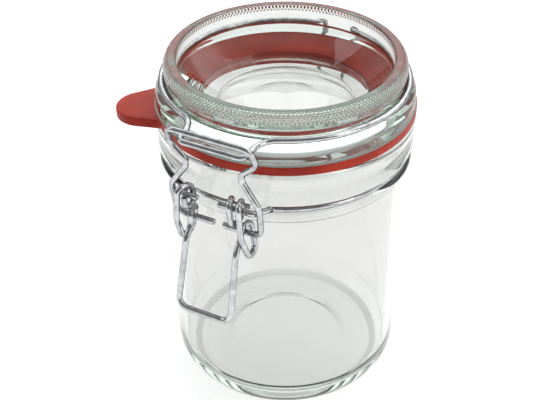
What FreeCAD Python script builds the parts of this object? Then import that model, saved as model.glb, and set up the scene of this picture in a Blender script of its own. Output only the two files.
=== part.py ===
import FreeCAD, Part
import math
import os
import re

import Sketcher

# A clip-top storage jar: a pressed glass jar and lid, a rubber sealing ring with a pull
# tab, and a toggle closure bent from round wire. Millimetres, +Z up. The origin is on
# the jar's axis, in the plane that it stands on. The closure is at -Y, the hinge at +Y.

V = FreeCAD.Vector

# Driving dimensions, each with the alias that the shapes are bound to.
SIZES = [
    # glass jar, from the base up
    ("jar_radius", 40.0),
    ("jar_wall", 3.0),
    ("foot_outer", 32.0),
    ("foot_inner", 28.0),
    ("foot_recess", 1.2),
    ("heel_height", 9.5),
    ("floor_top", 5.2),
    ("heel_inner_height", 12.0),
    ("shoulder_height", 84.4),
    ("bead_radius", 41.7),
    ("bead_height", 86.7),
    ("groove_radius", 38.95),
    ("groove_low", 88.4),
    ("groove_high", 90.7),
    ("rim_radius", 42.2),
    ("rim_waist", 41.5),
    ("rim_low", 92.6),
    ("rim_mid", 96.6),
    ("rim_high", 100.4),
    ("mouth_radius", 34.0),
    ("jar_top", 102.8),
    # sealing ring
    ("ring_inner", 28.7),
    ("ring_outer", 42.2),
    ("ring_bottom", 102.9),
    ("ring_thickness", 3.1),
    ("tab_angle", 215.0),
    ("tab_root", 38.0),
    ("tab_root_half", 11.4),
    ("tab_shoulder", 49.3),
    ("tab_half", 7.6),
    ("tab_tip_radius", 8.3),
    # glass lid
    ("lid_seat", 106.1),
    ("plug_radius", 28.6),
    ("plug_bottom", 103.7),
    ("lid_under", 100.9),
    ("lid_under_flat", 13.5),
    ("lid_under_arc", 230.0),
    ("flange_radius", 41.7),
    ("flange_top", 109.3),
    ("lip_radius", 40.5),
    ("lip_height", 111.7),
    ("lid_groove_radius", 38.35),
    ("lid_groove_low", 112.5),
    ("crown_base", 116.3),
    ("crown_radius", 38.6),
    ("crown_inner", 34.4),
    ("lid_top", 121.2),
    ("dish_rim_radius", 34.15),
    ("dish_rim_height", 114.6),
    ("dish_flat_radius", 22.0),
    ("dish_height", 104.4),
    ("dish_arc", 60.0),
    ("dish_centre", 105.4),
    # wire and its two rings
    ("wire_diameter", 1.9),
    ("neck_ring_radius", 40.0),
    ("neck_ring_height", 89.5),
    ("lid_ring_radius", 39.4),
    ("lid_ring_height", 113.5),
    # closure pivots: the pins on the neck wire, and the bail's feet in the lever
    ("pin_out", 45.4),
    ("pin_height", 92.0),
    ("foot_out", 44.8),
    ("foot_height", 84.2),
    # hinge pin at the back
    ("hinge_out", 46.0),
    ("hinge_height", 91.0),
    ("hinge_half", 11.0),
    # lid wire's nose
    ("nose_half", 11.2),
    ("nose_out", 47.6),
    ("nose_height", 112.3),
    ("nose_bend", 2.4),
    ("nose_join_run", 6.4),
    ("nose_join_bend", 8.5),
    # bail
    ("bail_bar_half", 13.4),
    ("bail_bar_out", 49.0),
    ("bail_bar_height", 116.8),
    ("bail_bar_bend", 2.6),
    ("bail_shoulder_half", 14.45),
    ("bail_shoulder_height", 110.3),
    ("bail_shoulder_bend", 4.0),
    ("bail_waist_half", 8.25),
    ("bail_waist_height", 105.2),
    ("bail_waist_bend", 3.0),
    ("bail_knee_half", 14.9),
    ("bail_knee_height", 95.6),
    ("bail_knee_bend", 5.0),
    ("bail_arm_out", 46.5),
    ("bail_foot_gap", 3.2),
    ("bail_foot_bend", 3.0),
    # lever
    ("handle_half", 9.35),
    ("handle_out", 56.2),
    ("handle_low", 56.6),
    ("handle_top_half", 8.6),
    ("handle_top_out", 50.3),
    ("handle_top_height", 79.0),
]

doc = FreeCAD.newDocument("ClipTopJar")
sheet = doc.addObject("Spreadsheet::Sheet", "Sizes")
for row, (alias, number) in enumerate(SIZES, start=1):
    sheet.set("A%d" % row, alias)
    sheet.set("B%d" % row, str(number))
    sheet.setAlias("B%d" % row, alias)
doc.recompute()


def size(alias):
    """The sheet's value for an alias, in millimetres or degrees."""
    return float(sheet.get(alias))


def bound(text):
    """An expression over aliases, with the sheet's name before each alias."""
    return re.sub(r"[a-z]\w*", r"Sizes.\g<0>", text)


def value(text):
    """The number that an expression over aliases has now."""
    total = 0.0
    for term in text.replace(" - ", " + -").split(" + "):
        sign = -1.0 if term.startswith("-") else 1.0
        name = term.lstrip("-")
        is_number = name.replace(".", "", 1).isdigit()
        total += sign * (float(name) if is_number else size(name))
    return total


def plane_of(body, role):
    """One of the body's own origin planes."""
    return next(f for f in body.Origin.OriginFeatures if f.Role == role)


def new_sketch(body, name, role):
    """A sketch on one of the body's own origin planes."""
    sketch = body.newObject("Sketcher::SketchObject", name)
    sketch.AttachmentSupport = [(plane_of(body, role), "")]
    sketch.MapMode = "FlatFace"
    return sketch


def arc_between(start, end, radius, left):
    """The shorter arc of a radius between two points of a sketch, bulging left or right."""
    chord = end - start
    half = chord.Length / 2
    across = V(-chord.y, chord.x, 0).normalize()
    side = 1.0 if left else -1.0
    centre = start + chord * 0.5 - across * (side * math.sqrt(radius**2 - half**2))
    first = math.atan2(start.y - centre.y, start.x - centre.x)
    last = math.atan2(end.y - centre.y, end.x - centre.x)
    if left:
        first, last = last, first
    circle = Part.Circle(centre, V(0, 0, 1), radius)
    return Part.ArcOfCircle(circle, first, last)


def pin_coordinate(sketch, kind, text, edge, end):
    """Hold one coordinate of an edge's end at an expression's value."""
    number = value(text)
    if number == 0.0:
        axis = -2 if kind == "DistanceX" else -1
        sketch.addConstraint(Sketcher.Constraint("PointOnObject", edge, end, axis))
        return
    origin, point = (-1, 1), (edge, end)
    pair = origin + point if number > 0 else point + origin
    index = sketch.addConstraint(Sketcher.Constraint(kind, *pair, abs(number)))
    expression = bound(text) if number > 0 else "-(%s)" % bound(text)
    sketch.setExpression("Constraints[%d]" % index, expression)


def closed_outline(sketch, corners):
    """Draw a closed outline and bind every corner, and every arc's radius, to the sheet.

    Each corner is (x, y) or (x, y, radius, "left" or "right"): the arc that arrives there.
    """
    places = [V(value(c[0]), value(c[1]), 0) for c in corners]
    count = len(corners)
    ends = []
    for i, corner in enumerate(corners):
        before, here = places[i - 1], places[i]
        if len(corner) == 2:
            sketch.addGeometry(Part.LineSegment(before, here), False)
            ends.append((1, 2))
        else:
            left = corner[3] == "left"
            sketch.addGeometry(arc_between(before, here, value(corner[2]), left), False)
            ends.append((2, 1) if left else (1, 2))
    for i in range(count):
        after = (i + 1) % count
        joint = Sketcher.Constraint("Coincident", i, ends[i][1], after, ends[after][0])
        sketch.addConstraint(joint)
    for i, corner in enumerate(corners):
        pin_coordinate(sketch, "DistanceX", corner[0], i, ends[i][1])
        pin_coordinate(sketch, "DistanceY", corner[1], i, ends[i][1])
        if len(corner) > 2:
            index = sketch.addConstraint(Sketcher.Constraint("Radius", i, value(corner[2])))
            sketch.setExpression("Constraints[%d]" % index, bound(corner[2]))


def turned_body(label, corners):
    """A body of revolution about Z from half of its section, given as (radius, height)."""
    body = doc.addObject("PartDesign::Body", label)
    body.Label = label
    sketch = new_sketch(body, label + "_section", "XZ_Plane")
    closed_outline(sketch, corners)
    turn = body.newObject("PartDesign::Revolution", label + "_turned")
    turn.Profile = (sketch, [""])
    turn.ReferenceAxis = (sketch, ["V_Axis"])
    turn.Angle = 360.0
    body.Tip = turn
    return body


def build_jar_glass():
    """The jar: foot ring, heel, straight wall, bead, wire groove and a thick rim."""
    return turned_body(
        "jar_glass",
        [
            ("0", "foot_recess"),
            ("foot_inner - 1.4", "foot_recess"),
            ("foot_inner", "0"),
            ("foot_outer", "0"),
            ("jar_radius", "heel_height", "11.0", "right"),
            ("jar_radius", "shoulder_height"),
            ("bead_radius", "bead_height", "2.6", "right"),
            ("groove_radius + 0.6", "groove_low", "2.4", "right"),
            ("groove_radius", "groove_low + 0.6"),
            ("groove_radius", "groove_high - 0.5"),
            ("groove_radius + 0.5", "groove_high"),
            ("rim_radius - 1.2", "groove_high + 0.4"),
            ("rim_radius", "rim_low", "1.8", "right"),
            ("rim_waist", "rim_mid", "12.0", "left"),
            ("rim_radius", "rim_high", "12.0", "left"),
            ("rim_radius - 1.6", "jar_top", "2.6", "right"),
            ("mouth_radius + 0.7", "jar_top"),
            ("mouth_radius", "jar_top - 0.8", "0.9", "right"),
            ("mouth_radius", "rim_low"),
            ("jar_radius - jar_wall", "shoulder_height - 1.4", "16.0", "right"),
            ("jar_radius - jar_wall", "heel_inner_height"),
            ("foot_outer - 3.0", "floor_top - 0.6", "10.5", "left"),
            ("0", "floor_top"),
        ],
    )


def build_lid_glass():
    """The lid: a plug, a flange, a groove for its wire and a crown around a deep dish."""
    return turned_body(
        "lid_glass",
        [
            ("0", "lid_under"),
            ("lid_under_flat", "lid_under"),
            ("plug_radius - 0.8", "plug_bottom", "lid_under_arc", "right"),
            ("plug_radius", "plug_bottom + 0.8", "0.9", "right"),
            ("plug_radius", "lid_seat"),
            ("flange_radius - 0.5", "lid_seat"),
            ("flange_radius", "lid_seat + 0.5", "0.6", "right"),
            ("flange_radius", "flange_top"),
            ("lip_radius", "lip_height", "3.6", "right"),
            ("lid_groove_radius + 0.7", "lid_groove_low", "1.8", "right"),
            ("lid_groove_radius", "lid_groove_low + 0.7"),
            ("lid_groove_radius", "crown_base - 0.4"),
            ("crown_radius", "crown_base", "0.7", "left"),
            ("crown_radius", "lid_top - 2.6"),
            ("crown_radius - 1.5", "lid_top - 0.1", "3.4", "right"),
            ("crown_inner + 0.5", "lid_top - 0.1", "9.0", "right"),
            ("crown_inner", "lid_top - 0.7", "0.7", "right"),
            ("dish_rim_radius", "dish_rim_height"),
            ("dish_flat_radius", "dish_height", "dish_arc", "left"),
            ("0", "dish_centre"),
        ],
    )


def build_gasket():
    """The flat sealing ring, with a tongue-shaped tab to pull it by."""
    body = doc.addObject("PartDesign::Body", "gasket")
    body.Label = "gasket"

    ring = new_sketch(body, "gasket_ring", "XY_Plane")
    ring.setExpression(".AttachmentOffset.Base.z", bound("ring_bottom"))
    for i, alias in enumerate(("ring_inner", "ring_outer")):
        ring.addGeometry(Part.Circle(V(0, 0, 0), V(0, 0, 1), size(alias)), False)
        ring.addConstraint(Sketcher.Constraint("Coincident", i, 3, -1, 1))
        index = ring.addConstraint(Sketcher.Constraint("Radius", i, size(alias)))
        ring.setExpression("Constraints[%d]" % index, bound(alias))
    annulus = body.newObject("PartDesign::Pad", "gasket_annulus")
    annulus.Profile = (ring, [""])
    annulus.setExpression("Length", bound("ring_thickness"))

    tab = new_sketch(body, "gasket_tab", "XY_Plane")
    turned = FreeCAD.Rotation(V(0, 0, 1), size("tab_angle"))
    tab.AttachmentOffset = FreeCAD.Placement(V(0, 0, size("ring_bottom")), turned)
    tab.setExpression(".AttachmentOffset.Base.z", bound("ring_bottom"))
    tab.setExpression(".AttachmentOffset.Rotation.Angle", bound("tab_angle"))
    closed_outline(
        tab,
        [
            ("tab_root", "-tab_root_half"),
            ("tab_shoulder", "-tab_half"),
            ("tab_shoulder", "tab_half", "tab_tip_radius", "right"),
            ("tab_root", "tab_root_half"),
        ],
    )
    tongue = body.newObject("PartDesign::Pad", "gasket_tongue")
    tongue.Profile = (tab, [""])
    tongue.setExpression("Length", bound("ring_thickness"))
    body.Tip = tongue
    return body


def straight(start, end):
    """A straight edge of a wire's route."""
    return Part.LineSegment(start, end).toShape()


def rounded_run(corners):
    """Edges through corners (x, y, z, bend radius); the two ends have no bend."""
    places = [V(*c[:3]) for c in corners]
    edges = []
    start = places[0]
    for before, here, after, corner in zip(places, places[1:], places[2:], corners[1:]):
        u = (here - before).normalize()
        v = (after - here).normalize()
        turn = u.getAngle(v)
        radius = corner[3]
        reach = radius * math.tan(turn / 2)
        first = here - u * reach
        last = here + v * reach
        inward = (v - u).normalize()
        middle = here + inward * (radius / math.cos(turn / 2) - radius)
        edges.append(straight(start, first))
        edges.append(Part.Arc(first, middle, last).toShape())
        start = last
    edges.append(straight(start, places[-1]))
    return edges


def ring_point(radius, height, degrees):
    """A point on a level ring; 0 is +X and 90 is +Y."""
    turn = math.radians(degrees)
    return V(radius * math.cos(turn), radius * math.sin(turn), height)


def ring_heading(degrees):
    """The direction of travel, counter-clockwise from above, at a point of a level ring."""
    turn = math.radians(degrees)
    return V(-math.sin(turn), math.cos(turn), 0)


def ring_edge(radius, height, first, last):
    """A level arc of a ring, from one angle to another."""
    middle = ring_point(radius, height, (first + last) / 2)
    ends = ring_point(radius, height, first), ring_point(radius, height, last)
    return Part.Arc(ends[0], middle, ends[1]).toShape()


def mirrored(corners):
    """The same corners on the other side of the closure, in the opposite order."""
    return [(-c[0],) + tuple(c[1:]) for c in reversed(corners)]


def swept_wire(label, edges):
    """A round wire along a route, as a sweep of a circle bound to the wire's diameter."""
    route = doc.addObject("Part::Feature", label + "_route")
    route.Shape = Part.Wire(edges)
    first = edges[0]
    start = first.valueAt(first.FirstParameter)
    heading = first.tangentAt(first.FirstParameter)
    section = doc.addObject("Part::Circle", label + "_section")
    section.setExpression("Radius", "Sizes.wire_diameter / 2")
    section.Placement = FreeCAD.Placement(start, FreeCAD.Rotation(V(0, 0, 1), heading))
    sweep = doc.addObject("Part::Sweep", label)
    sweep.Label = label
    sweep.Sections = [section]
    names = ["Edge%d" % (i + 1) for i in range(len(edges))]
    sweep.Spine = (route, names)
    sweep.Solid = True
    sweep.Frenet = False
    return sweep


def pin_corners(pin_end):
    """One end of the neck wire, from a pivot pin's cut end back to the neck ring."""
    radius, height = size("neck_ring_radius"), size("neck_ring_height")
    out, pin_height = size("pin_out"), size("pin_height")
    leave = ring_point(radius, height, PIN_LEAVES_RING)
    corner = leave - ring_heading(PIN_LEAVES_RING) * 2.0
    return [
        (pin_end, -out, pin_height),
        (12.3, -out, pin_height, 1.8),
        (corner.x, corner.y, corner.z, 1.9),
        tuple(leave),
    ]


# Angles where a wire leaves its ring, counter-clockwise from +X seen from above.
PIN_LEAVES_RING = -66.0
HINGE_LEAVES_RING = 68.0
NOSE_LEAVES_RING = -65.0
BACK_LEAVES_RING = 76.0


def build_neck_wire():
    """The wire round the neck: pivot pins in front, hinge pin behind."""
    radius, height = size("neck_ring_radius"), size("neck_ring_height")
    right = pin_corners(0.6)
    left = mirrored(pin_corners(6.8))
    leave = ring_point(radius, height, HINGE_LEAVES_RING)
    corner = leave + ring_heading(HINGE_LEAVES_RING) * 1.8
    bump = [
        tuple(leave),
        (corner.x, corner.y, corner.z, 1.8),
        (size("hinge_half"), size("hinge_out"), size("hinge_height"), 1.9),
    ]
    edges = rounded_run(right)
    edges.append(ring_edge(radius, height, PIN_LEAVES_RING, HINGE_LEAVES_RING))
    edges += rounded_run(bump + mirrored(bump))
    edges.append(
        ring_edge(radius, height, 180 - HINGE_LEAVES_RING, 180 - PIN_LEAVES_RING)
    )
    edges += rounded_run(left)
    return swept_wire("neck_wire", edges)


def build_neck_bridge():
    """The short wire that fills the neck groove between the two pivot pins."""
    radius, height = size("neck_ring_radius"), size("neck_ring_height")
    return swept_wire("neck_bridge", [ring_edge(radius, height, 254.0, 281.0)])


def build_lid_wire():
    """The wire round the lid: a nose in front for the bail, hinge eyes behind."""
    radius, height = size("lid_ring_radius"), size("lid_ring_height")
    leave = ring_point(radius, height, NOSE_LEAVES_RING)
    corner = leave - ring_heading(NOSE_LEAVES_RING) * size("nose_join_run")
    nose = [
        (size("nose_half"), -size("nose_out"), size("nose_height"), size("nose_bend")),
        (corner.x, corner.y, corner.z, size("nose_join_bend")),
        tuple(leave),
    ]
    back = ring_point(radius, height, BACK_LEAVES_RING)
    turn_out = back + ring_heading(BACK_LEAVES_RING) * 2.6
    eye = size("wire_diameter") + 0.08
    out, low = size("hinge_out"), size("hinge_height")
    tail = [
        tuple(back),
        (turn_out.x, turn_out.y, turn_out.z, 2.4),
        (6.4, out - 0.6, height - 1.6, 2.4),
        (6.0, out - eye, low + 4.0, 2.5),
        (5.9, out - eye, low - eye, 1.7),
        (5.4, out + eye, low - eye, 1.9),
        (5.0, out + eye, low + 2.2),
    ]
    edges = rounded_run(mirrored(tail))
    edges.append(ring_edge(radius, height, 180 - BACK_LEAVES_RING, 180 - NOSE_LEAVES_RING))
    edges += rounded_run(mirrored(nose) + nose)
    edges.append(ring_edge(radius, height, NOSE_LEAVES_RING, BACK_LEAVES_RING))
    edges += rounded_run(tail)
    return swept_wire("lid_wire", edges)


def build_bail_wire():
    """The bail: a bar over the lid wire's nose, waisted arms, and feet in the lever."""
    arm_out = size("bail_arm_out")
    foot_out, foot_height = size("foot_out"), size("foot_height")
    arm = [(size("bail_foot_gap") / 2, -foot_out, foot_height)]
    for name, half, out, height in (
        ("foot", size("bail_knee_half") - 0.4, foot_out, foot_height),
        ("knee", size("bail_knee_half"), arm_out, size("bail_knee_height")),
        ("waist", size("bail_waist_half"), arm_out, size("bail_waist_height")),
        ("shoulder", size("bail_shoulder_half"), arm_out, size("bail_shoulder_height")),
        ("bar", size("bail_bar_half"), size("bail_bar_out"), size("bail_bar_height")),
    ):
        arm.append((half, -out, height, size("bail_%s_bend" % name)))
    return swept_wire("bail_wire", rounded_run(arm + mirrored(arm)))


def lever_leg():
    """Half of the handle and the hook over the bail's foot, on the +X side."""
    top, top_out = size("handle_top_half"), size("handle_top_out")
    return [
        (size("handle_half"), -size("handle_out"), size("handle_low"), 3.3),
        (top, -top_out, size("handle_top_height"), 4.0),
        (top, -46.85, 82.6, 4.0),
        (top + 0.2, -46.85, 86.75, 2.0),
        (top + 0.9, -42.1, 86.75, 2.0),
        (11.2, -42.6, 77.0, 2.2),
        (11.6, -47.4, 77.0, 2.2),
    ]


def build_lever_wire():
    """The lever: a handle, two hooks for the bail's feet and two coils on the neck pins."""
    right_coil = [
        (9.9, -49.1, 84.6, 6.0),
        (8.5, -47.6, 94.8, 2.1),
        (7.4, -43.2, 94.8, 2.1),
        (6.7, -43.2, 86.8, 2.1),
        (6.0, -47.6, 86.8, 2.1),
        (5.2, -47.6, 94.8, 2.1),
        (4.6, -44.2, 94.8),
    ]
    left_coil = [
        (12.4, -49.1, 84.6, 6.0),
        (12.3, -47.6, 94.8, 2.1),
        (9.9, -43.2, 94.8, 2.1),
        (9.4, -43.2, 88.2, 2.1),
        (9.9, -47.6, 88.2, 2.1),
        (10.0, -47.6, 92.4),
    ]
    right = lever_leg() + right_coil
    left = lever_leg() + left_coil
    return swept_wire("lever_wire", rounded_run(mirrored(left) + right))


def check_and_write(parts):
    """Refuse any failed object or empty shape, then write one STEP file for each part."""
    for item in doc.Objects:
        if {"Invalid", "Error"} & set(item.State):
            raise RuntimeError("%s is %s" % (item.Label, item.State))
    for part in parts:
        shape = part.Shape
        if shape.isNull() or not shape.isValid() or len(shape.Solids) != 1:
            raise RuntimeError("%s has no single valid solid" % part.Label)
    os.makedirs("parts", exist_ok=True)
    for part in parts:
        part.Shape.exportStep(os.path.join("parts", part.Label + ".step"))
        box = part.Shape.optimalBoundingBox()
        print(
            "%-12s %9.1f mm3  z %7.2f to %7.2f"
            % (part.Label, part.Shape.Volume, box.ZMin, box.ZMax)
        )


PARTS = [
    build_jar_glass(),
    build_lid_glass(),
    build_gasket(),
    build_neck_wire(),
    build_neck_bridge(),
    build_lid_wire(),
    build_bail_wire(),
    build_lever_wire(),
]
doc.recompute()
check_and_write(PARTS)
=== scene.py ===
import logging
import math
from dataclasses import dataclass, field
from enum import Enum

import bpy
import numpy as np
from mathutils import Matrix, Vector


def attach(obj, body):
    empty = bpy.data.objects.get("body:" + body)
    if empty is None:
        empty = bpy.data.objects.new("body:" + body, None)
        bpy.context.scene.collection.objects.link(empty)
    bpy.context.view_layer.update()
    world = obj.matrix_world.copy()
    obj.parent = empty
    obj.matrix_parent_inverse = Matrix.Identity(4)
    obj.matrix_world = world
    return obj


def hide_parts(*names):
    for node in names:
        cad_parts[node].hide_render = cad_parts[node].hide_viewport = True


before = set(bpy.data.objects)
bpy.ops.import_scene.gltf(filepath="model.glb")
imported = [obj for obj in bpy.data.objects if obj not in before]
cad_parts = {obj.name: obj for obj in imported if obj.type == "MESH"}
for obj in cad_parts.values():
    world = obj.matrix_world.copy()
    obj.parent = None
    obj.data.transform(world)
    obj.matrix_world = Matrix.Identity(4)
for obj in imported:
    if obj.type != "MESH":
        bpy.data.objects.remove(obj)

# A clip-top storage jar: a pressed glass jar and dished lid, a rubber sealing ring with a
# pull tab, and a wire toggle closure. Sizes in the classes are millimetres; meshes are
# metres. The jar's axis is Z, its foot is at height 0 and the closure faces -Y.

LOG = logging.getLogger("clip_top_jar")
MM = 0.001
GLASS_BOUNCES = 32
MIRROR_BOUNCES = 12

# The whole run of a share, from none to all.
FULL = (0.0, 1.0)

# The middle of the side where the rubber clings to the glass, in degrees from +X.
CLING_ANGLE = 112.0

Colour = tuple[float, float, float]
Range = tuple[float, float]
Values = np.ndarray
Socket = bpy.types.NodeSocket


class Curve(Enum):
    """Which way an arc of a turned outline bulges."""

    CONVEX = -1.0
    HOLLOW = 1.0


class Body(Enum):
    """The bodies of the frame that new pieces ride on."""

    JAR = "jar"
    LID = "lid"


class Slot(Enum):
    """Names of the record's material slots, which no piece here is given."""

    GLASS = "clear_glass"
    RUBBER = "red_rubber"


@dataclass(frozen=True)
class Grain:
    """A noise pattern: its waves to the metre and its octaves of finer noise."""

    scale: float
    detail: float


@dataclass(frozen=True)
class Relief:
    """How deep a bumped surface is, in millimetres, and how strongly it shows."""

    depth: float
    strength: float


class NodeKit:
    """A material's or world's node tree, with short ways to add and join nodes."""

    def __init__(self, tree: bpy.types.NodeTree) -> None:
        """Take over a node tree and empty it.

        Args:
            tree: The tree that the nodes are added to.
        """
        self.tree = tree
        tree.nodes.clear()

    def add(self, kind: str, **inputs: object) -> bpy.types.Node:
        """Add a node and fill its inputs.

        Args:
            kind: The node's type, without the "ShaderNode" in front.
            inputs: Numbers or sockets by input name, with _ for a space.

        Returns:
            The new node.
        """
        node = self.tree.nodes.new("ShaderNode" + kind)
        for name, given in inputs.items():
            self.put(node.inputs[name.replace("_", " ")], given)
        return node

    def put(self, socket: Socket, given: object) -> None:
        """Link or set one input.

        Args:
            socket: The input.
            given: Another node's output to link, or a plain number or colour.
        """
        if isinstance(given, Socket):
            self.tree.links.new(given, socket)
        elif isinstance(given, tuple) and len(given) == 3 and socket.type == "RGBA":
            socket.default_value = (*given, 1.0)
        else:
            socket.default_value = given

    def maths(self, operation: str, *terms: object) -> Socket:
        """Add a Math node.

        Args:
            operation: The Math node's operation.
            terms: One to three numbers or sockets.

        Returns:
            The node's output.
        """
        node = self.tree.nodes.new("ShaderNodeMath")
        node.operation = operation
        for socket, term in zip(node.inputs, terms):
            self.put(socket, term)
        return node.outputs[0]

    def product(self, *terms: object) -> Socket:
        """Multiply two or more numbers or sockets."""
        total = terms[0]
        for term in terms[1:]:
            total = self.maths("MULTIPLY", total, term)
        return total

    def distance(self, x: Socket, y: Socket) -> Socket:
        """The distance from the Z axis of a place with these coordinates."""
        return self.maths("SQRT", self.maths("ADD", self.product(x, x), self.product(y, y)))

    def ramp(self, value: Socket, source: Range, target: Range, smooth: bool = False) -> Socket:
        """Map a value from one range to another.

        Args:
            value: The socket that is mapped.
            source: The range that it comes from.
            target: The range that it goes to.
            smooth: True to ease in and out of the range's ends.

        Returns:
            The mapped value's socket.
        """
        node = self.add("MapRange", Value=value, From_Min=source[0], From_Max=source[1])
        self.put(node.inputs["To Min"], target[0])
        self.put(node.inputs["To Max"], target[1])
        if smooth:
            node.interpolation_type = "SMOOTHSTEP"
        return node.outputs["Result"]

    def between(self, limits: Range, place: Socket, soft: float) -> Socket:
        """A mask that is 1 between two limits and falls off softly outside them.

        Args:
            limits: Where the mask has risen to 1, and where it starts to fall.
            place: The socket that is compared.
            soft: The width of each slope.

        Returns:
            The mask's socket.
        """
        low, high = limits
        rise = self.ramp(place, (low - soft, low), FULL, smooth=True)
        fall = self.ramp(place, (high + soft, high), FULL, smooth=True)
        return self.product(rise, fall)

    def noise(self, grain: Grain) -> Socket:
        """A noise pattern's value, from 0 to 1, over the piece's own space."""
        place = self.add("TexCoord").outputs["Object"]
        node = self.add("TexNoise", Vector=place, Scale=grain.scale, Detail=grain.detail)
        return node.outputs["Fac"]

    def mixed(self, share: Socket, first: Colour, second: Colour) -> Socket:
        """A colour between two others.

        Args:
            share: How much of the second colour shows.
            first: The colour, or its socket, at share 0.
            second: The colour, or its socket, at share 1.

        Returns:
            The mixed colour's socket.
        """
        node = self.tree.nodes.new("ShaderNodeMix")
        node.data_type = "RGBA"
        self.put(node.inputs["Factor"], share)
        self.put(node.inputs["A"], first)
        self.put(node.inputs["B"], second)
        return node.outputs["Result"]

    def bumped(self, height: Socket, relief: Relief) -> bpy.types.Node:
        """Add a Bump node.

        Args:
            height: The surface's height, from 0 to 1.
            relief: How deep it is and how strongly it shows.

        Returns:
            The node, whose Normal output is the bumped normal.
        """
        return self.add("Bump", Height=height, Distance=relief.depth * MM, Strength=relief.strength)


def new_material(name: str) -> tuple[bpy.types.Material, NodeKit]:
    """Make an empty node material.

    Args:
        name: The material's name.

    Returns:
        The material and its node kit.
    """
    material = bpy.data.materials.new(name)
    material.use_nodes = True
    return material, NodeKit(material.node_tree)


@dataclass(frozen=True)
class StippleBand:
    """A band of small pressed points round a glass form, in millimetres.

    lean is 1 where the band's radius grows with its height and -1 where it shrinks.
    """

    radii: Range
    heights: Range
    count: int
    pitch: float
    lean: float = 1.0
    fade: float = 0.3

    def height(self, kit: NodeKit) -> Socket:
        """Build the points' height, from 0 to 1.

        Args:
            kit: The glass material's node kit.

        Returns:
            The height's socket.
        """
        place = kit.add("SeparateXYZ", Vector=kit.add("TexCoord").outputs["Object"])
        x, y, z = place.outputs
        radius = kit.distance(x, y)
        turn = kit.maths("ARCTAN2", y, x)
        along = kit.maths("SINE", kit.product(turn, float(self.count)))
        climb = kit.maths("MULTIPLY_ADD", radius, self.lean, z)
        across = kit.maths("SINE", kit.product(climb, math.tau / (self.pitch * MM)))
        points = kit.maths("MULTIPLY_ADD", kit.product(along, across), 0.5, 0.5)
        fade = self.fade * MM
        inside = kit.between((self.radii[0] * MM, self.radii[1] * MM), radius, fade)
        level = kit.between((self.heights[0] * MM, self.heights[1] * MM), z, fade)
        return kit.product(points, points, inside, level)


@dataclass(frozen=True)
class GlassFinish:
    """Clear pressed soda-lime glass, faintly green in its depth."""

    name: str
    stipple: StippleBand
    depth_colour: Colour = (0.55, 0.66, 0.60)
    depth_density: float = 16.0
    index: float = 1.5
    light: Colour = (0.835, 0.832, 0.826)
    dark: Colour = (0.81, 0.807, 0.80)
    lamp_tint: Colour = (0.93, 0.95, 0.94)
    ripple: Grain = Grain(55.0, 1.0)
    ripple_relief: Relief = Relief(0.12, 0.35)
    stipple_relief: Relief = Relief(0.34, 1.0)
    haze: Grain = Grain(240.0, 2.0)
    roughness: Range = (0.0, 0.02)

    def material(self) -> bpy.types.Material:
        """Build the glass, which lets lamps through.

        Returns:
            The material.
        """
        material, kit = new_material(self.name)
        mottle = kit.noise(self.ripple)
        waves = kit.bumped(mottle, self.ripple_relief)
        points = kit.bumped(self.stipple.height(kit), self.stipple_relief)
        kit.put(points.inputs["Normal"], waves.outputs["Normal"])
        glass = kit.add(
            "BsdfPrincipled",
            Base_Color=kit.mixed(mottle, self.light, self.dark),
            Roughness=kit.ramp(kit.noise(self.haze), FULL, self.roughness),
            Normal=points.outputs["Normal"],
        )
        glass.inputs["IOR"].default_value = self.index
        glass.inputs["Transmission Weight"].default_value = 1.0
        lamp_ray = kit.add("LightPath").outputs["Is Shadow Ray"]
        clear = kit.add("BsdfTransparent", Color=self.lamp_tint)
        mix = kit.add("MixShader", Fac=lamp_ray)
        kit.put(mix.inputs[1], glass.outputs["BSDF"])
        kit.put(mix.inputs[2], clear.outputs["BSDF"])
        depth = kit.add("VolumeAbsorption")
        depth.inputs["Color"].default_value = (*self.depth_colour, 1.0)
        depth.inputs["Density"].default_value = self.depth_density
        kit.add("OutputMaterial", Surface=mix.outputs[0], Volume=depth.outputs["Volume"])
        return material


@dataclass(frozen=True)
class PaintedReflection:
    """A painted reflection, greenish grey, on the outer part of the rubber's top face, on the
    closure side.

    It lies where the rubber doesn't cling to the glass, and stands in for the dim surroundings
    reflected there. The radii and the fade are millimetres, and the sides are cosines of the angle
    from the middle of the cling.
    """

    # Painted reflection: a greenish grey that stands in for dim surroundings reflected over the
    # red.
    colour: Colour = (0.36, 0.40, 0.37)
    radii: Range = (36.6, 41.8)
    fade: float = 0.4
    sides: Range = (0.25, 0.0)
    upright: float = 0.7

    def share(self, kit: NodeKit) -> Socket:
        """How much of the painted reflection lies on the rubber at each place.

        Args:
            kit: The node kit of the rubber's material.

        Returns:
            The socket that gives the share of painted reflection, from 0 to 1.
        """
        place = kit.add("TexCoord")
        x, y, _ = kit.add("SeparateXYZ", Vector=place.outputs["Object"]).outputs
        up = kit.add("SeparateXYZ", Vector=place.outputs["Normal"]).outputs[2]
        radius = kit.distance(x, y)
        middle = math.radians(CLING_ANGLE)
        along = kit.maths("ADD", kit.product(x, math.cos(middle)), kit.product(y, math.sin(middle)))
        closure_side = kit.ramp(kit.maths("DIVIDE", along, radius), self.sides, FULL)
        band = kit.between((self.radii[0] * MM, self.radii[1] * MM), radius, self.fade * MM)
        top = kit.maths("GREATER_THAN", up, self.upright)
        return kit.product(band, closure_side, top)


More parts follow.
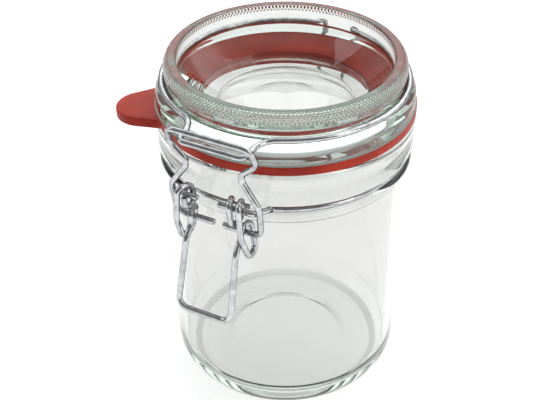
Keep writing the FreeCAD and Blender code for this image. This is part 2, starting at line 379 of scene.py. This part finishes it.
@dataclass(frozen=True)
class RubberFinish:
    """Moulded natural rubber, orange-red and satin, with a painted greenish-grey reflection on the
    front of its top face.
    """

    name: str = "red_rubber"
    bright: Colour = (0.56, 0.040, 0.013)
    dull: Colour = (0.40, 0.023, 0.010)
    # The painted reflection on the front of the top face.
    painted_reflection: PaintedReflection = PaintedReflection()
    cloud: Grain = Grain(90.0, 3.0)
    cloud_limits: Range = (0.35, 0.65)
    skin: Grain = Grain(2600.0, 2.0)
    skin_relief: Relief = Relief(0.04, 0.5)
    wear: Grain = Grain(300.0, 3.0)
    roughness: Range = (0.36, 0.58)
    index: float = 1.5
    shine: float = 0.25

    def material(self) -> bpy.types.Material:
        """Build the rubber.

        Returns:
            The material.
        """
        material, kit = new_material(self.name)
        cloud = kit.ramp(kit.noise(self.cloud), self.cloud_limits, FULL)
        red = kit.mixed(cloud, self.bright, self.dull)
        # The base colour lays the painted greenish-grey reflection over the red.
        rubber = kit.add(
            "BsdfPrincipled",
            Base_Color=kit.mixed(self.painted_reflection.share(kit), red, self.painted_reflection.colour),
            Roughness=kit.ramp(kit.noise(self.wear), FULL, self.roughness),
            Normal=kit.bumped(kit.noise(self.skin), self.skin_relief).outputs["Normal"],
        )
        rubber.inputs["IOR"].default_value = self.index
        rubber.inputs["Specular IOR Level"].default_value = self.shine
        kit.add("OutputMaterial", Surface=rubber.outputs["BSDF"])
        return material


@dataclass(frozen=True)
class WireFinish:
    """Drawn steel wire under a bright zinc skin, faintly scuffed, with painted shade: a dark tint
    on its reflections towards the edges.
    """

    name: str = "bright_wire"
    light: Colour = (0.68, 0.69, 0.70)
    dark: Colour = (0.40, 0.41, 0.425)
    # Painted shade: a near-black tint that darkens the metal's reflections towards the wires'
    # edges.
    edge: Colour = (0.12, 0.13, 0.15)
    patch: Grain = Grain(420.0, 4.0)
    patch_limits: Range = (0.3, 0.7)
    wear: Grain = Grain(700.0, 3.0)
    roughness: Range = (0.05, 0.15)
    scuff: Grain = Grain(1500.0, 2.0)
    scuff_relief: Relief = Relief(0.03, 0.35)

    def material(self) -> bpy.types.Material:
        """Build the metal.

        Returns:
            The material.
        """
        material, kit = new_material(self.name)
        patch = kit.ramp(kit.noise(self.patch), self.patch_limits, FULL)
        metal = kit.add(
            "BsdfPrincipled",
            Base_Color=kit.mixed(patch, self.light, self.dark),
            Roughness=kit.ramp(kit.noise(self.wear), FULL, self.roughness),
            Normal=kit.bumped(kit.noise(self.scuff), self.scuff_relief).outputs["Normal"],
        )
        metal.inputs["Metallic"].default_value = 1.0
        # Painted shade: the dark edge tint darkens the reflections at grazing angles.
        metal.inputs["Specular Tint"].default_value = (*self.edge, 1.0)
        kit.add("OutputMaterial", Surface=metal.outputs["BSDF"])
        return material


@dataclass(frozen=True)
class Stop:
    """A corner of a turned outline, and the arc that arrives there, in millimetres."""

    radius: float
    height: float
    arc: float = 0.0
    curve: Curve = Curve.CONVEX


@dataclass(frozen=True)
class Outline:
    """Half of a turned form's section, from the axis round the form to the axis again."""

    stops: tuple[Stop, ...]
    step: float = 0.2
    softness: float = 0.28
    tolerance: float = 0.003
    longest: float = 3.0
    arc_steps: int = 15
    blur_reach: float = 4.0

    def cornered(self) -> Values:
        """The outline's points with its arcs divided, as radius + height * 1j."""
        points = [complex(self.stops[0].radius, self.stops[0].height)]
        for stop in self.stops[1:]:
            end = complex(stop.radius, stop.height)
            if stop.arc:
                points.extend(self.bent(points[-1], end, stop))
            points.append(end)
        return np.array(points)

    def bent(self, start: complex, end: complex, stop: Stop) -> list[complex]:
        """Divide the arc between two corners.

        Args:
            start: The arc's first point.
            end: The arc's last point.
            stop: The corner that gives the arc's radius and side.

        Returns:
            The points between start and end.
        """
        chord = end - start
        left = 1j * chord / abs(chord)
        depth = math.sqrt(stop.arc**2 - abs(chord) ** 2 / 4)
        centre = (start + end) / 2 - left * stop.curve.value * depth
        first, last = np.angle(start - centre), np.angle(end - centre)
        sweep = (last - first + math.pi) % math.tau - math.pi
        shares = np.linspace(0.0, 1.0, self.arc_steps + 1)[1:-1]
        return [centre + stop.arc * np.exp(1j * (first + sweep * s)) for s in shares]

    def softened(self) -> Values:
        """The outline at even steps, with every edge rounded as pressed glass is."""
        points = self.cornered()
        length = np.concatenate([[0.0], np.cumsum(np.abs(np.diff(points)))])
        count = int(length[-1] / self.step)
        even = np.linspace(0.0, length[-1], count)
        line = np.interp(even, length, points.real) + 1j * np.interp(even, length, points.imag)
        reach = int(self.blur_reach * self.softness / self.step) + 1
        offsets = np.arange(-reach, reach + 1) * self.step
        weights = np.exp(-((offsets / self.softness) ** 2) / 2)
        before = -np.conj(line[1 : reach + 1][::-1])
        after = -np.conj(line[-reach - 1 : -1][::-1])
        soft = np.convolve(np.concatenate([before, line, after]), weights / weights.sum(), "valid")
        soft[0] = complex(0.0, soft[0].imag)
        soft[-1] = complex(0.0, soft[-1].imag)
        return soft

    def thinned(self) -> Values:
        """The softened outline without the points that a straight run can spare."""
        line = self.softened()
        kept = [0]
        while kept[-1] < len(line) - 1:
            start = kept[-1]
            end = start + 1
            while end + 1 < len(line) and self.is_straight(line[start : end + 2]):
                end += 1
            kept.append(end)
        return line[kept]

    def is_straight(self, run: Values) -> bool:
        """True if a run of points is short and lies along its chord."""
        chord = run[-1] - run[0]
        away = np.abs(((run - run[0]) * np.conj(chord)).imag) / abs(chord)
        return abs(chord) < self.longest and away.max() < self.tolerance

    def turned(self, name: str, segments: int) -> bpy.types.Object:
        """Turn the outline about the axis into a closed, smooth mesh.

        Args:
            name: The new object's name.
            segments: The divisions round the axis.

        Returns:
            The object, linked to the scene.
        """
        line = self.thinned() * MM
        rings = line[1:-1]
        turn = np.linspace(0.0, math.tau, segments, endpoint=False)
        x = np.outer(rings.real, np.cos(turn))
        y = np.outer(rings.real, np.sin(turn))
        z = np.repeat(rings.imag[:, None], segments, axis=1)
        points = np.stack([x, y, z], axis=2).reshape(-1, 3)
        poles = [[0.0, 0.0, line[0].imag], [0.0, 0.0, line[-1].imag]]
        points = np.concatenate([points, poles])
        index = np.arange(len(rings) * segments).reshape(len(rings), segments)
        ahead = np.roll(index, -1, axis=1)
        quads = np.stack([index[:-1], ahead[:-1], ahead[1:], index[1:]], axis=2).reshape(-1, 4)
        first, last = len(points) - 2, len(points) - 1
        caps = [(first, int(b), int(a)) for a, b in zip(index[0], ahead[0])]
        caps += [(last, int(a), int(b)) for a, b in zip(index[-1], ahead[-1])]
        return linked_mesh(name, points.tolist(), quads.tolist() + caps)


def linked_mesh(name: str, points: list, faces: list) -> bpy.types.Object:
    """Make a smooth mesh object in the scene.

    Args:
        name: The object's name.
        points: Its vertices, in metres.
        faces: Its faces, as lists of vertex numbers.

    Returns:
        The object.
    """
    mesh = bpy.data.meshes.new(name)
    mesh.from_pydata(points, [], faces)
    mesh.validate()
    mesh.shade_smooth()
    made = bpy.data.objects.new(name, mesh)
    bpy.context.scene.collection.objects.link(made)
    return made


def fit(piece: bpy.types.Object, material: bpy.types.Material, body: Body) -> None:
    """Dress a new piece and let it ride on its body.

    Args:
        piece: The piece.
        material: Its only material.
        body: The body that it moves with.
    """
    piece.data.materials.clear()
    piece.data.materials.append(material)
    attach(piece, body.value)


@dataclass
class JarGlass:
    """The open glass jar, from its stippled foot to its thick rim.

    Pairs of a step inwards and a step up or down give the small chamfers and lands.
    """

    wall_radius: float = 40.0
    wall: float = 3.0
    foot_outer: float = 32.0
    foot_inner: float = 28.0
    foot_arc: float = 24.0
    foot_recess: float = 1.2
    dome_rim: float = 20.0
    dome_rise: float = 0.3
    dome_arc: float = 200.0
    heel: float = 9.5
    heel_arc: float = 11.0
    floor: float = 5.2
    floor_edge: tuple[float, float] = (3.0, 0.6)
    floor_arc: float = 10.5
    inner_heel: float = 12.0
    shoulder: float = 84.4
    shoulder_drop: float = 1.4
    shoulder_arc: float = 16.0
    bead: tuple[float, float] = (41.7, 86.7)
    bead_arc: float = 2.6
    groove: tuple[float, float, float] = (38.95, 88.4, 90.7)
    groove_arc: float = 2.4
    groove_foot: float = 0.6
    groove_edge: float = 0.5
    rim: float = 42.2
    rim_start: tuple[float, float] = (1.2, 0.4)
    rim_arc: float = 1.8
    rim_waist: float = 41.5
    rim_waist_arc: float = 12.0
    rim_heights: tuple[float, float, float] = (92.6, 96.6, 100.4)
    rim_land: float = 1.6
    rim_land_arc: float = 2.6
    mouth: float = 34.0
    mouth_edge: tuple[float, float] = (0.7, 0.8)
    mouth_arc: float = 0.9
    top: float = 102.8
    segments: int = 256

    def outline(self) -> Outline:
        """The jar's section: foot, heel, wall, bead, wire groove, rim and cavity."""
        groove, groove_low, groove_high = self.groove
        rim_low, rim_mid, rim_high = self.rim_heights
        rim_in, rim_up = self.rim_start
        mouth_out, mouth_down = self.mouth_edge
        floor_in, floor_down = self.floor_edge
        inside = self.wall_radius - self.wall
        return Outline((
            Stop(0.0, self.foot_recess + self.dome_rise),
            Stop(self.dome_rim, self.foot_recess, self.dome_arc, Curve.HOLLOW),
            Stop(self.foot_inner, 0.0, self.foot_arc),
            Stop(self.foot_outer, 0.0),
            Stop(self.wall_radius, self.heel, self.heel_arc),
            Stop(self.wall_radius, self.shoulder),
            Stop(*self.bead, self.bead_arc),
            Stop(groove + self.groove_foot, groove_low, self.groove_arc),
            Stop(groove, groove_low + self.groove_foot),
            Stop(groove, groove_high - self.groove_edge),
            Stop(groove + self.groove_edge, groove_high),
            Stop(self.rim - rim_in, groove_high + rim_up),
            Stop(self.rim, rim_low, self.rim_arc),
            Stop(self.rim_waist, rim_mid, self.rim_waist_arc, Curve.HOLLOW),
            Stop(self.rim, rim_high, self.rim_waist_arc, Curve.HOLLOW),
            Stop(self.rim - self.rim_land, self.top, self.rim_land_arc),
            Stop(self.mouth + mouth_out, self.top),
            Stop(self.mouth, self.top - mouth_down, self.mouth_arc),
            Stop(self.mouth, rim_low),
            Stop(inside, self.shoulder - self.shoulder_drop, self.shoulder_arc),
            Stop(inside, self.inner_heel),
            Stop(self.foot_outer - floor_in, self.floor - floor_down, self.floor_arc, Curve.HOLLOW),
            Stop(0.0, self.floor),
        ))

    def build(self) -> bpy.types.Object:
        """Turn, dress and mount the jar.

        Returns:
            The jar's object.
        """
        knurl = StippleBand((33.6, 36.4), (0.5, 2.8), count=150, pitch=1.9)
        piece = self.outline().turned("jar_body", self.segments)
        fit(piece, GlassFinish("jar_glass_finish", knurl).material(), Body.JAR)
        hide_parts("jar_glass")
        return piece


@dataclass
class LidGlass:
    """The glass lid: plug, flange, wire groove and stippled crown round a deep dish."""

    under: float = 100.9
    under_flat: float = 13.5
    under_arc: float = 230.0
    plug: float = 28.6
    plug_bottom: float = 103.7
    plug_edge: float = 0.8
    plug_arc: float = 0.9
    seat: float = 106.1
    flange: float = 41.7
    flange_edge: float = 0.5
    flange_arc: float = 0.6
    flange_top: float = 109.3
    lip: tuple[float, float] = (40.5, 111.7)
    lip_arc: float = 3.6
    groove: tuple[float, float] = (38.35, 112.5)
    groove_foot: float = 0.7
    groove_arc: float = 1.8
    crown: float = 38.6
    crown_base: float = 116.3
    crown_step: float = 0.4
    crown_base_arc: float = 0.7
    crown_shoulder: float = 2.6
    crown_land: tuple[float, float] = (37.1, 0.1)
    crown_arc: float = 3.4
    crown_inner: float = 34.4
    crown_lip: tuple[float, float] = (0.5, 0.7)
    crown_top_arc: float = 9.0
    crown_lip_arc: float = 0.7
    top: float = 121.2
    dish_rim: tuple[float, float] = (34.15, 114.6)
    dish_flat: tuple[float, float] = (22.0, 104.4)
    dish_arc: float = 60.0
    dish_centre: float = 105.4
    segments: int = 256

    def outline(self) -> Outline:
        """The lid's section: plug, flange, groove, crown and deep dish."""
        groove, groove_low = self.groove
        land, land_down = self.crown_land
        lip_out, lip_down = self.crown_lip
        return Outline((
            Stop(0.0, self.under),
            Stop(self.under_flat, self.under),
            Stop(self.plug - self.plug_edge, self.plug_bottom, self.under_arc),
            Stop(self.plug, self.plug_bottom + self.plug_edge, self.plug_arc),
            Stop(self.plug, self.seat),
            Stop(self.flange - self.flange_edge, self.seat),
            Stop(self.flange, self.seat + self.flange_edge, self.flange_arc),
            Stop(self.flange, self.flange_top),
            Stop(*self.lip, self.lip_arc),
            Stop(groove + self.groove_foot, groove_low, self.groove_arc),
            Stop(groove, groove_low + self.groove_foot),
            Stop(groove, self.crown_base - self.crown_step),
            Stop(self.crown, self.crown_base, self.crown_base_arc, Curve.HOLLOW),
            Stop(self.crown, self.top - self.crown_shoulder),
            Stop(land, self.top - land_down, self.crown_arc),
            Stop(self.crown_inner + lip_out, self.top - land_down, self.crown_top_arc),
            Stop(self.crown_inner, self.top - lip_down, self.crown_lip_arc),
            Stop(*self.dish_rim),
            Stop(*self.dish_flat, self.dish_arc, Curve.HOLLOW),
            Stop(0.0, self.dish_centre),
        ))

    def build(self) -> bpy.types.Object:
        """Turn, dress and mount the lid.

        Returns:
            The lid's object.
        """
        points = StippleBand((37.0, 39.0), (118.0, 121.0), count=190, pitch=1.6, lean=-1.0)
        piece = self.outline().turned("lid_body", self.segments)
        finish = GlassFinish(
            "lid_glass_finish", points, depth_colour=(0.36, 0.62, 0.50), depth_density=28.0
        )
        fit(piece, finish.material(), Body.LID)
        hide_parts("lid_glass")
        return piece


@dataclass
class SealingRing:
    """The flat rubber ring between jar and lid, with a rounded tab to pull it by.

    It clings to the glass on the hinge side, where it shows red through the lid, and lies
    a hair clear of it on the closure side.
    """

    inner: float = 28.7
    outer: float = 42.2
    bottom: float = 102.9
    top: float = 106.0
    edge: float = 0.4
    edge_steps: int = 4
    swell_start: float = 0.9
    swell_full: float = 1.1
    cling: float = 0.13
    cling_half: float = 82.0
    cling_fade: float = 14.0
    tab_angle: float = 215.0
    tab_root: tuple[float, float] = (38.0, 11.4)
    tab_shoulder: tuple[float, float] = (49.3, 7.6)
    tab_tip: float = 8.3
    smoothing: tuple[float, ...] = (1.0, 2.0, 3.0, 2.0, 1.0)
    segments: int = 720

    def reach(self, turn: float) -> float:
        """How far out the rubber goes at an angle from the tab's middle.

        Args:
            turn: The angle, in radians.

        Returns:
            The outer radius there, in millimetres.
        """
        (root, root_half), (shoulder, half) = self.tab_root, self.tab_shoulder
        if abs(turn) > math.atan2(root_half, root):
            return self.outer
        slope = (half - root_half) / (shoulder - root)
        side = (root_half - slope * root) / (math.tan(abs(turn)) - slope) / math.cos(turn)
        centre = shoulder - math.sqrt(self.tab_tip**2 - half**2)
        tip = centre * math.cos(turn)
        across = self.tab_tip**2 - (centre * math.sin(turn)) ** 2
        if across > 0.0 and abs(turn) <= math.atan2(half, shoulder):
            return max(self.outer, tip + math.sqrt(across))
        return max(self.outer, side)

    def grip(self, angle: float) -> float:
        """How far the rubber swells onto the glass at an angle round the jar.

        Args:
            angle: The angle from +X, in radians.

        Returns:
            The swelling, in millimetres.
        """
        away = (math.degrees(angle) - CLING_ANGLE + 180.0) % 360.0 - 180.0
        share = (self.cling_half + self.cling_fade - abs(away)) / self.cling_fade
        return self.cling * min(1.0, max(0.0, share))

    def section(self, reach: float, grip: float) -> list[tuple[float, float]]:
        """The rubber's rounded section out to a radius.

        Args:
            reach: The outer radius, in millimetres.
            grip: How far the rubber swells onto the glass.

        Returns:
            Points as (radius, height), round the section.
        """
        low, high, inner = self.bottom - grip, self.top + grip, self.inner - grip
        swelling = [(self.outer - self.swell_start, self.top), (self.outer - self.swell_full, high)]
        return [
            *self.rounded(reach - self.edge, low + self.edge, -90.0),
            *self.rounded(reach - self.edge, self.top - self.edge, 0.0),
            *swelling,
            *self.rounded(inner + self.edge, high - self.edge, 90.0),
            *self.rounded(inner + self.edge, low + self.edge, 180.0),
        ]

    def rounded(self, radius: float, height: float, start: float) -> list[tuple[float, float]]:
        """A quarter circle that rounds one edge of the rubber's section.

        Args:
            radius: The radius of the quarter circle's centre.
            height: The height of its centre.
            start: The angle that it starts from, in degrees from outwards.

        Returns:
            Points as (radius, height), counter-clockwise.
        """
        points = []
        for step in range(self.edge_steps + 1):
            angle = math.radians(start + 90.0 / self.edge_steps * step)
            across, up = self.edge * math.cos(angle), self.edge * math.sin(angle)
            points.append((radius + across, height + up))
        return points

    def build(self) -> bpy.types.Object:
        """Shape, dress and mount the rubber ring.

        Returns:
            The ring's object.
        """
        turns = np.linspace(-math.pi, math.pi, self.segments, endpoint=False)
        outside = np.array([self.reach(turn) for turn in turns])
        weights = np.array(self.smoothing) / sum(self.smoothing)
        padded = np.pad(outside, len(weights) // 2, mode="wrap")
        outside = np.convolve(padded, weights, "valid")
        points = []
        for turn, reach in zip(turns, outside):
            angle = turn + math.radians(self.tab_angle)
            for radius, height in self.section(float(reach), self.grip(angle)):
                place = (radius * math.cos(angle), radius * math.sin(angle), height)
                points.append([number * MM for number in place])
        count = len(points) // self.segments
        index = np.arange(len(points)).reshape(self.segments, count)
        ahead = np.roll(index, -1, axis=0)
        around = np.roll(ahead, -1, axis=1), np.roll(index, -1, axis=1)
        faces = np.stack([index, ahead, *around], axis=2).reshape(-1, 4)
        piece = linked_mesh("rubber_ring", points, faces.tolist())
        fit(piece, RubberFinish().material(), Body.LID)
        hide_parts("gasket")
        return piece


@dataclass
class WireWork:
    """The closure's bent wires, which keep their built shapes and get their metal."""

    nodes: tuple[str, ...] = ("neck_wire", "neck_bridge", "lid_wire", "bail_wire", "lever_wire")
    finish: WireFinish = field(default_factory=WireFinish)

    def build(self) -> list[bpy.types.Object]:
        """Dress every wire.

        Returns:
            The wires' objects.
        """
        metal = self.finish.material()
        wires = [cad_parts[name] for name in self.nodes]
        for wire in wires:
            wire.data.materials.clear()
            wire.data.materials.append(metal)
        return wires


@dataclass
class Floor:
    """A wide white paper floor that glows a little where it is seen."""

    size: float = 6.0
    drop: float = 0.0002
    light: Colour = (0.91, 0.91, 0.91)
    dark: Colour = (0.89, 0.89, 0.89)
    grain: Grain = Grain(8.0, 2.0)
    glow: float = 0.42

    def material(self) -> bpy.types.Material:
        """Build the paper.

        Returns:
            The material.
        """
        material, kit = new_material("white_paper")
        shade = kit.mixed(kit.noise(self.grain), self.light, self.dark)
        paper = kit.add("BsdfDiffuse", Color=shade)
        path = kit.add("LightPath").outputs
        seen = kit.maths("MAXIMUM", path["Is Camera Ray"], path["Is Glossy Ray"])
        seen = kit.maths("MAXIMUM", seen, path["Is Transmission Ray"])
        glow = kit.add("Emission", Strength=kit.product(seen, self.glow))
        both = kit.add("AddShader")
        kit.put(both.inputs[0], paper.outputs[0])
        kit.put(both.inputs[1], glow.outputs[0])
        kit.add("OutputMaterial", Surface=both.outputs[0])
        return material

    def build(self) -> None:
        """Lay the floor under the jar."""
        half = self.size / 2
        corners = [(-half, -half, 0.0), (half, -half, 0.0), (half, half, 0.0), (-half, half, 0.0)]
        floor = linked_mesh("floor", corners, [(0, 1, 2, 3)])
        floor.location.z = -self.drop
        floor.data.materials.append(self.material())


@dataclass
class Surround:
    """A soft surround: white behind the jar, dim behind the viewer, with a bright panel.

    The sides and heights are parts of a unit direction, along Y and Z. Each glow is the
    surround's strength at the two ends of its side or height.
    """

    far_side: Range = (-0.35, 0.45)
    far_glow: Range = (0.28, 0.9)
    overhead: Range = (0.65, 0.95)
    overhead_glow: Range = (0.0, 0.5)
    panel_height: Range = (0.42, 0.72)
    panel_fade: float = 0.12
    panel_side: Range = (0.35, 0.6)
    panel_glow: Range = (0.0, 1.9)

    def build(self) -> None:
        """Make the surround and give it to the scene."""
        world = bpy.data.worlds.new("surround")
        bpy.context.scene.world = world
        world.use_nodes = True
        kit = NodeKit(world.node_tree)
        place = kit.add("TexCoord").outputs["Generated"]
        _, y, z = kit.add("SeparateXYZ", Vector=place).outputs
        far = kit.ramp(y, self.far_side, self.far_glow, smooth=True)
        above = kit.ramp(z, self.overhead, self.overhead_glow, smooth=True)
        panel = kit.product(
            kit.between(self.panel_height, z, self.panel_fade),
            kit.ramp(y, self.panel_side, self.panel_glow, smooth=True),
        )
        level = kit.maths("ADD", kit.maths("MAXIMUM", far, above), panel)
        glow = kit.add("Background", Strength=level)
        kit.add("OutputWorld", Surface=glow.outputs[0])


@dataclass
class Softbox:
    """A soft rectangular lamp that faces the jar, in metres and watts."""

    name: str
    place: tuple[float, float, float]
    width: float
    height: float
    power: float
    target: tuple[float, float, float] = (0.0, 0.0, 0.06)

    def build(self) -> None:
        """Hang the lamp."""
        light = bpy.data.lights.new(self.name, "AREA")
        light.shape = "RECTANGLE"
        light.size = self.width
        light.size_y = self.height
        light.energy = self.power
        lamp = bpy.data.objects.new(self.name, light)
        bpy.context.scene.collection.objects.link(lamp)
        lamp.location = self.place
        aim = Vector(self.target) - Vector(self.place)
        lamp.rotation_euler = aim.to_track_quat("-Z", "Y").to_euler()


@dataclass
class Studio:
    """The floor, the surround and the lamps."""

    floor: Floor = field(default_factory=Floor)
    surround: Surround = field(default_factory=Surround)
    lamps: tuple[Softbox, ...] = (
        Softbox("left_softbox", (-0.9, -0.35, 0.75), width=0.4, height=0.9, power=2.1),
        Softbox("right_softbox", (0.9, -0.15, 0.6), width=0.35, height=0.9, power=1.9),
        Softbox("top_softbox", (0.1, 0.5, 1.1), width=0.9, height=0.5, power=1.7),
    )

    def build(self) -> None:
        """Set up the floor, the surround and the lamps."""
        self.floor.build()
        self.surround.build()
        for lamp in self.lamps:
            lamp.build()


@dataclass
class ViewPoint:
    """The camera: above the jar, a little to the right of its closure."""

    place: tuple[float, float, float] = (0.1261, -0.2497, 0.2682)
    turn: float = 26.8
    down: float = 36.169
    lens: float = 67.40
    shift: float = -0.0358
    nearest: float = 0.01

    def build(self) -> None:
        """Place the camera and make it the scene's."""
        camera = bpy.data.cameras.new("camera")
        camera.lens = self.lens
        camera.shift_x = self.shift
        camera.clip_start = self.nearest
        holder = bpy.data.objects.new("camera", camera)
        bpy.context.scene.collection.objects.link(holder)
        holder.location = self.place
        holder.rotation_euler = (math.radians(90.0 - self.down), 0.0, math.radians(self.turn))
        bpy.context.scene.camera = holder


def light_paths() -> None:
    """Let light pass through every wall of the jar and lid."""
    cycles = bpy.context.scene.cycles
    cycles.max_bounces = GLASS_BOUNCES
    cycles.transmission_bounces = GLASS_BOUNCES
    cycles.transparent_max_bounces = GLASS_BOUNCES
    cycles.glossy_bounces = MIRROR_BOUNCES


def main() -> None:
    """Build the jar, its closure and the studio, and log each piece's face count."""
    logging.basicConfig(level=logging.INFO, format="%(name)s: %(message)s")
    scene = bpy.context.scene
    scene.view_settings.view_transform = "Standard"
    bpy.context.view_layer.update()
    light_paths()
    ViewPoint().build()
    for part in (JarGlass(), LidGlass(), SealingRing()):
        piece = part.build()
        LOG.info("%s: %d faces", piece.name, len(piece.data.polygons))
    for wire in WireWork().build():
        LOG.info("%s: %d faces", wire.name, len(wire.data.polygons))
    Studio().build()


if __name__ == "__main__":
    main()
